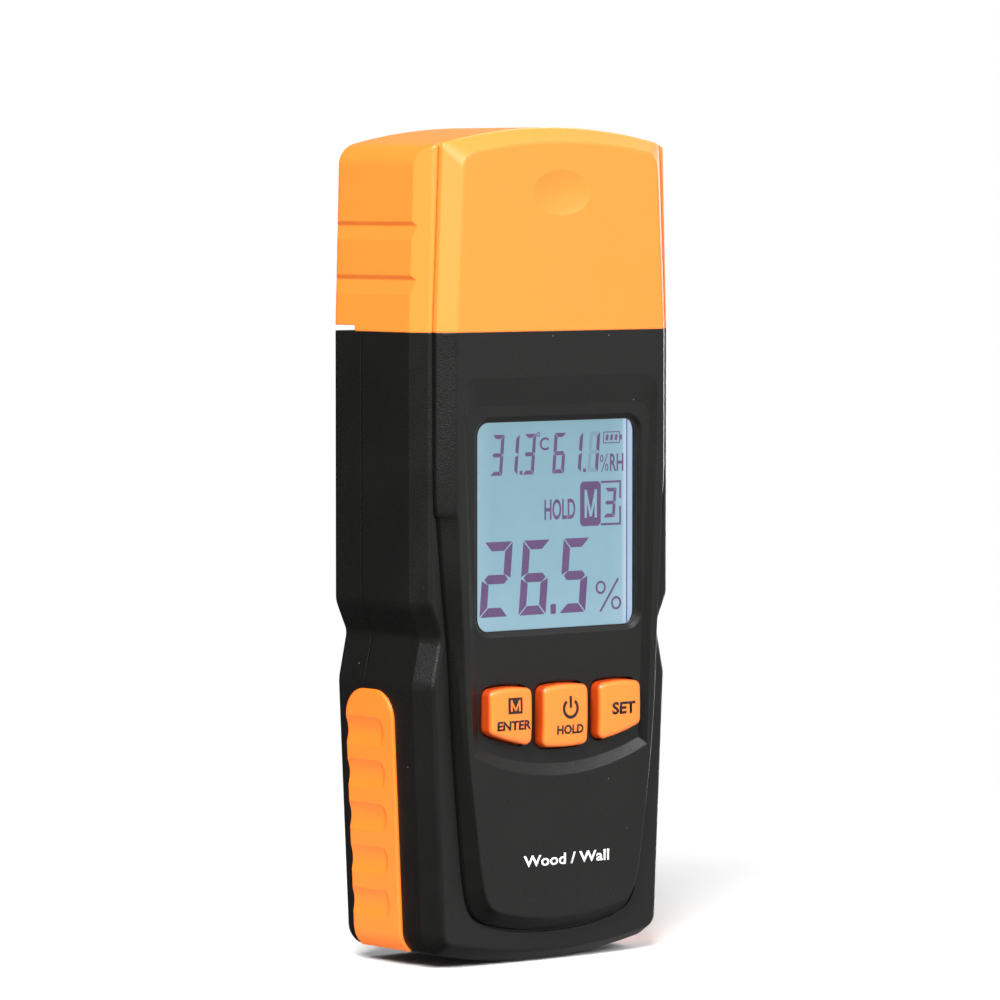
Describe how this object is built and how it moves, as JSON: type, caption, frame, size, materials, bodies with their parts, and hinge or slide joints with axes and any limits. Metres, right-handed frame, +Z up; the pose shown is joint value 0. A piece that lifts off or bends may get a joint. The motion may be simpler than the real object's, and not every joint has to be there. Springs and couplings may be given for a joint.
{
  "type": "moisture meter",
  "caption": "Hand-held two-pin moisture meter with a push-on cap over its needles, a backlit display, a row of push keys and soft side grips.",
  "frame": {"origin": "bottom centre of the bounding box: under the middle of the domed foot, cap on", "axes": "+Z up the length from the foot to the cap, +X to the right seen from the front, and the front with display and keys faces -Y"},
  "size_m": [0.063, 0.033, 0.16],
  "materials": {
    "case_black": "fine spark grain, satin",
    "grip_orange": "smooth satin",
    "cap_orange": "smooth satin",
    "key_orange": "smooth satin",
    "lens_clear": "clear acrylic",
    "foam_black": "closed-cell foam",
    "display_glass": "liquid crystal glass, lit from behind",
    "diffuser": "milky light guide",
    "inner_plastic": "moulded, plain",
    "strip_rubber": "striped elastomer",
    "board_green": "solder mask on glass laminate",
    "chip_black": "moulded epoxy",
    "can_metal": "satin",
    "screw_steel": "zinc plated",
    "neck_black": "fine spark grain, satin",
    "needle_steel": "ground and polished",
    "nut_brass": "turned, bright",
    "lead_red": "insulated wire",
    "lead_black": "insulated wire",
    "cell_jacket": "plain printed film sleeve, no marks",
    "contact_nickel": "nickel plated",
    "label_grey": "blank polyester label",
    "plunger_white": "moulded, plain"
  },
  "bodies": {
    "meter_body": {"front_shell": "case_black", "rear_shell": "case_black", "grip_left": "grip_orange", "grip_right": "grip_orange", "display_lens": "lens_clear", "lens_gasket": "foam_black", "lcd_panel": "display_glass", "lcd_backlight": "diffuser", "lcd_frame": "inner_plastic", "contact_strip": "strip_rubber", "circuit_board": "board_green", "board_chips": "chip_black", "board_parts": "can_metal", "board_screws": "screw_steel", "case_screws": "screw_steel", "probe_head": "neck_black", "probe_pin_left": "needle_steel", "probe_pin_right": "needle_steel", "probe_nuts": "nut_brass", "probe_lead_left": "lead_red", "probe_lead_right": "lead_black", "sensor_module": "board_green", "battery_1": "cell_jacket", "battery_2": "cell_jacket", "battery_3": "cell_jacket", "battery_springs": "contact_nickel", "battery_contacts": "contact_nickel", "battery_lead_left": "lead_red", "battery_lead_right": "lead_black", "rear_label": "label_grey", "switch_enter": "inner_plastic", "switch_power": "inner_plastic", "switch_set": "inner_plastic"},
    "cap": {"cap": "cap_orange"},
    "battery_door": {"battery_door": "case_black", "door_pad": "foam_black"},
    "key_enter": {"key_enter": "key_orange", "plunger_enter": "plunger_white"},
    "key_power": {"key_power": "key_orange", "plunger_power": "plunger_white"},
    "key_set": {"key_set": "key_orange", "plunger_set": "plunger_white"}
  },
  "joints": [
    {"name": "cap_slide", "type": "slide", "parent": "meter_body", "child": "cap", "axis": [0, 0, 1], "range_m": [0, 0.045]},
    {"name": "door_tilt", "type": "hinge", "parent": "meter_body", "child": "battery_door", "pos_m": [0, 0.0165, 0.0062], "axis": [-1, 0, 0], "range_deg": [0, 75]},
    {"name": "enter_press", "type": "slide", "parent": "meter_body", "child": "key_enter", "axis": [0, 1, 0], "range_m": [0, 0.0005], "stiffness_N_per_m": 2500},
    {"name": "power_press", "type": "slide", "parent": "meter_body", "child": "key_power", "axis": [0, 1, 0], "range_m": [0, 0.0005], "stiffness_N_per_m": 2500},
    {"name": "set_press", "type": "slide", "parent": "meter_body", "child": "key_set", "axis": [0, 1, 0], "range_m": [0, 0.0005], "stiffness_N_per_m": 2500}
  ]
}
